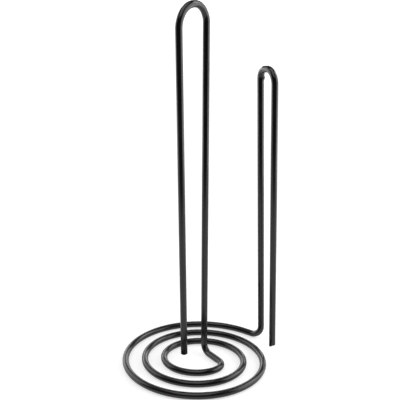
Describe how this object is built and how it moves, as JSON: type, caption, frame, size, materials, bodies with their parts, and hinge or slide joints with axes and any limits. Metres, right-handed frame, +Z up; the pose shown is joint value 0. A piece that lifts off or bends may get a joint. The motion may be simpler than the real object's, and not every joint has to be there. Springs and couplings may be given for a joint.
{
  "type": "paper towel holder",
  "caption": "Free-standing wire paper towel holder: flat spiral base, tall looped post for the roll, and a shorter spring arm beside it.",
  "frame": {"origin": "on the table, under the middle of the holder's outline (bottom centre of its bounding box)", "axes": "+Z up along the post; +X to the right, towards the spring arm; -Y towards the front, the side from which the spiral winds out clockwise"},
  "size_m": [0.1432, 0.1352, 0.3221],
  "materials": {
    "black_coat": "satin black coating on round steel wire"
  },
  "bodies": {
    "root": {"post_free_tip": "black_coat", "post_free_leg": "black_coat", "post_crown": "black_coat", "post_fixed_leg": "black_coat", "post_foot_bend": "black_coat", "post_foot_run": "black_coat", "base_start_bend": "black_coat", "base_inner_front": "black_coat", "base_inner_back": "black_coat", "base_middle_front": "black_coat", "base_middle_back": "black_coat", "base_outer_front": "black_coat", "base_outer_back": "black_coat", "arm_foot_run": "black_coat", "arm_foot_bend": "black_coat", "arm_riser": "black_coat", "arm_crown": "black_coat", "arm_drop_leg": "black_coat", "arm_free_tip": "black_coat"}
  },
  "joints": []
}
